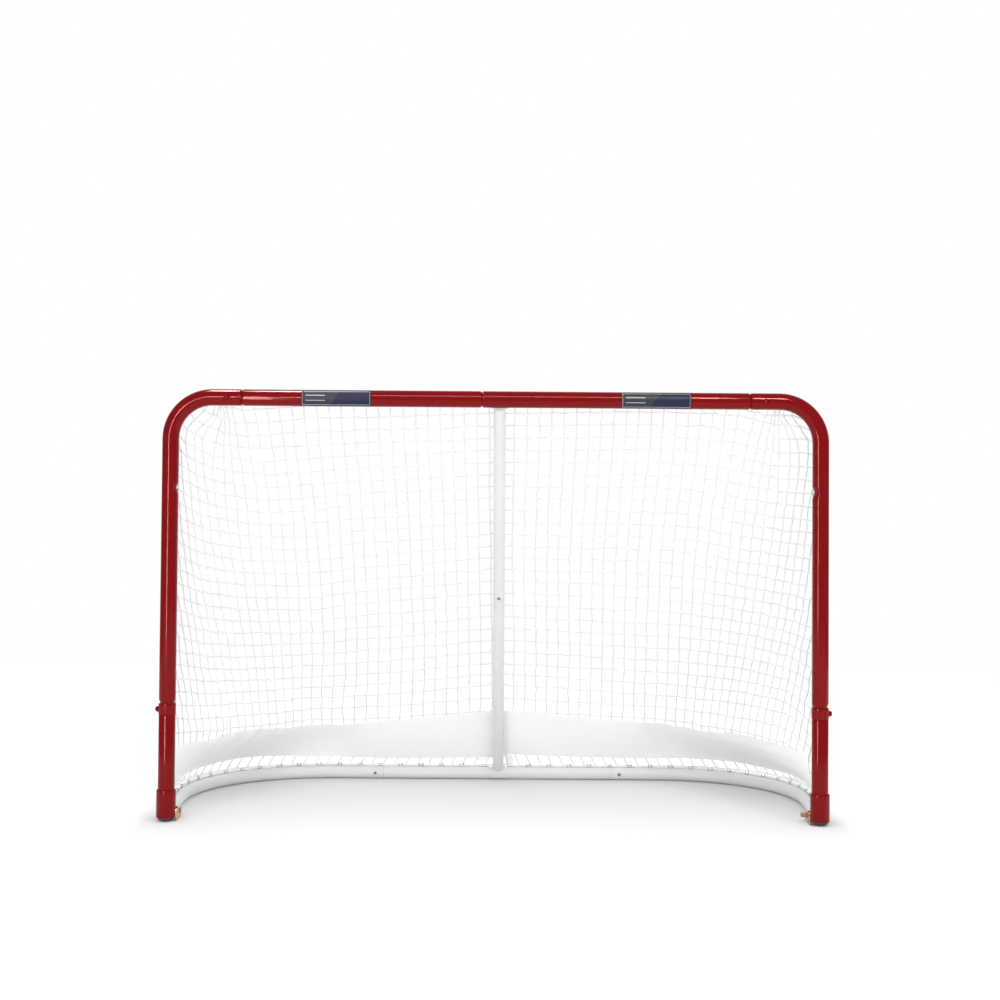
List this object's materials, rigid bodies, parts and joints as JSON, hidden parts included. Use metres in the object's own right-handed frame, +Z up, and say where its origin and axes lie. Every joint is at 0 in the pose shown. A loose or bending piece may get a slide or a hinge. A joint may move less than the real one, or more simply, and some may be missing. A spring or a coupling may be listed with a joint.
{
  "type": "hockey goal",
  "caption": "Full-width hockey goal: red tube mouth frame, white tube base and sloping centre bar, net with a cloth skirt at its foot, sprung buttons at the tube joints.",
  "frame": {"origin": "on the floor, under the middle of the goal's box", "axes": "+X along the crossbar to the right as seen from the front, +Y from the mouth to the rear, +Z up"},
  "size_m": [1.9482, 0.753, 1.2393],
  "materials": {
    "red_paint": "glossy red powder coat on steel tube",
    "white_paint": "glossy white powder coat on steel tube",
    "zinc": "yellow zinc plate",
    "spring_steel": "bright spring steel",
    "rubber": "moulded dark rubber",
    "net_cord": "twisted white polyester cord",
    "cloth": "matt white woven cloth",
    "sticker": "printed vinyl film without words"
  },
  "bodies": {
    "goal": {"crossbar_left": "red_paint", "crossbar_right": "red_paint", "left_corner_post": "red_paint", "right_corner_post": "red_paint", "left_leg": "red_paint", "right_leg": "red_paint", "left_leg_collar": "red_paint", "right_leg_collar": "red_paint", "left_foot_sleeve": "red_paint", "right_foot_sleeve": "red_paint", "left_foot_plug": "rubber", "right_foot_plug": "rubber", "left_post_rivet": "spring_steel", "right_post_rivet": "spring_steel", "left_foot_bracket": "zinc", "right_foot_bracket": "zinc", "left_foot_bolt": "zinc", "right_foot_bolt": "zinc", "left_foot_nut": "zinc", "right_foot_nut": "zinc", "right_foot_lock_nut": "zinc", "left_foot_spacer": "zinc", "right_foot_spacer": "zinc", "left_base_tube": "white_paint", "right_base_tube": "white_paint", "base_rear_bar": "white_paint", "centre_bar_upper": "white_paint", "centre_bar_lower": "white_paint", "top_saddle": "white_paint", "foot_saddle": "white_paint", "top_saddle_screw_1": "zinc", "top_saddle_screw_2": "zinc", "foot_saddle_screw_1": "zinc", "foot_saddle_screw_2": "zinc", "left_crossbar_clip": "spring_steel", "right_crossbar_clip": "spring_steel", "left_leg_clip": "spring_steel", "right_leg_clip": "spring_steel", "left_base_clip": "spring_steel", "right_base_clip": "spring_steel", "centre_bar_clip": "spring_steel", "left_sticker": "sticker", "right_sticker": "sticker", "net_back": "net_cord", "left_side_net": "net_cord", "right_side_net": "net_cord", "skirt_back": "cloth", "left_side_skirt": "cloth", "right_side_skirt": "cloth", "left_lacing_rope": "net_cord", "right_lacing_rope": "net_cord"},
    "left_crossbar_button": {"left_crossbar_button": "spring_steel"},
    "right_crossbar_button": {"right_crossbar_button": "spring_steel"},
    "left_leg_button": {"left_leg_button": "spring_steel"},
    "right_leg_button": {"right_leg_button": "spring_steel"},
    "left_base_button": {"left_base_button": "spring_steel"},
    "right_base_button": {"right_base_button": "spring_steel"},
    "centre_bar_button": {"centre_bar_button": "spring_steel"}
  },
  "joints": [
    {"name": "left_crossbar_press", "type": "slide", "parent": "goal", "child": "left_crossbar_button", "axis": [0, 1, 0], "range_m": [0, 0.0055], "stiffness_N_per_m": 900, "springref_m": -0.002},
    {"name": "right_crossbar_press", "type": "slide", "parent": "goal", "child": "right_crossbar_button", "axis": [0, 1, 0], "range_m": [0, 0.0055], "stiffness_N_per_m": 900, "springref_m": -0.002},
    {"name": "left_leg_press", "type": "slide", "parent": "goal", "child": "left_leg_button", "axis": [1, 0, 0], "range_m": [0, 0.0055], "stiffness_N_per_m": 900, "springref_m": -0.002},
    {"name": "right_leg_press", "type": "slide", "parent": "goal", "child": "right_leg_button", "axis": [-1, 0, 0], "range_m": [0, 0.0055], "stiffness_N_per_m": 900, "springref_m": -0.002},
    {"name": "left_base_press", "type": "slide", "parent": "goal", "child": "left_base_button", "axis": [0, 1, 0], "range_m": [0, 0.0055], "stiffness_N_per_m": 900, "springref_m": -0.002},
    {"name": "right_base_press", "type": "slide", "parent": "goal", "child": "right_base_button", "axis": [0, 1, 0], "range_m": [0, 0.0055], "stiffness_N_per_m": 900, "springref_m": -0.002},
    {"name": "centre_bar_press", "type": "slide", "parent": "goal", "child": "centre_bar_button", "axis": [0, 0.8623, 0.5064], "range_m": [0, 0.0055], "stiffness_N_per_m": 900, "springref_m": -0.002}
  ]
}
